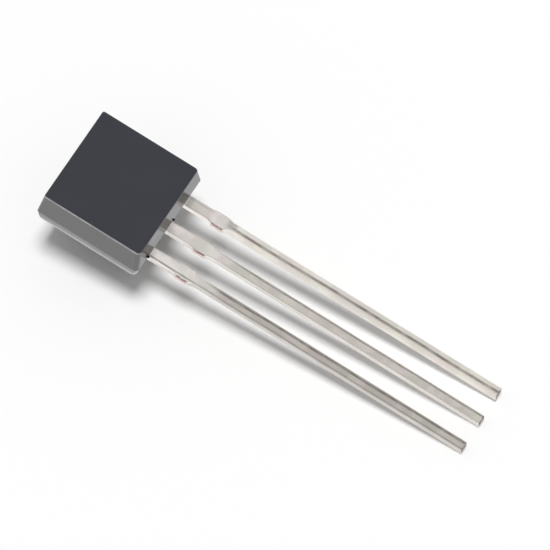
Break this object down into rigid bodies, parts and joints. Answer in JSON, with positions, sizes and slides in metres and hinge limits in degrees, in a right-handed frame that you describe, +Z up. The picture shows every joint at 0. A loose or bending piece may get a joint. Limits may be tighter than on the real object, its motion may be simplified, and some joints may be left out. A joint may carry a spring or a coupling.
{
  "type": "to-92 transistor",
  "caption": "Small-signal transistor in a D-shaped moulded body with straight flat-stamped leads in a row, flat face up.",
  "frame": {"origin": "middle of the part's bounding box, on the surface that it lies on", "axes": "+X from the body towards the tips of the leads, +Y across the row of leads towards the base lead, +Z up, which is within about 8 degrees of the flat face's normal"},
  "size_m": [0.0184, 0.0046, 0.0042],
  "materials": {
    "epoxy_moulding": "satin",
    "tinned_copper": "satin",
    "solder": "matte",
    "silicon": "gloss",
    "gold_wire": "gloss"
  },
  "bodies": {
    "root": {"package_body": "epoxy_moulding", "emitter_lead": "tinned_copper", "collector_lead": "tinned_copper", "base_lead": "tinned_copper", "die_attach": "solder", "silicon_die": "silicon", "emitter_bond_wire": "gold_wire", "base_bond_wire": "gold_wire"}
  },
  "joints": []
}
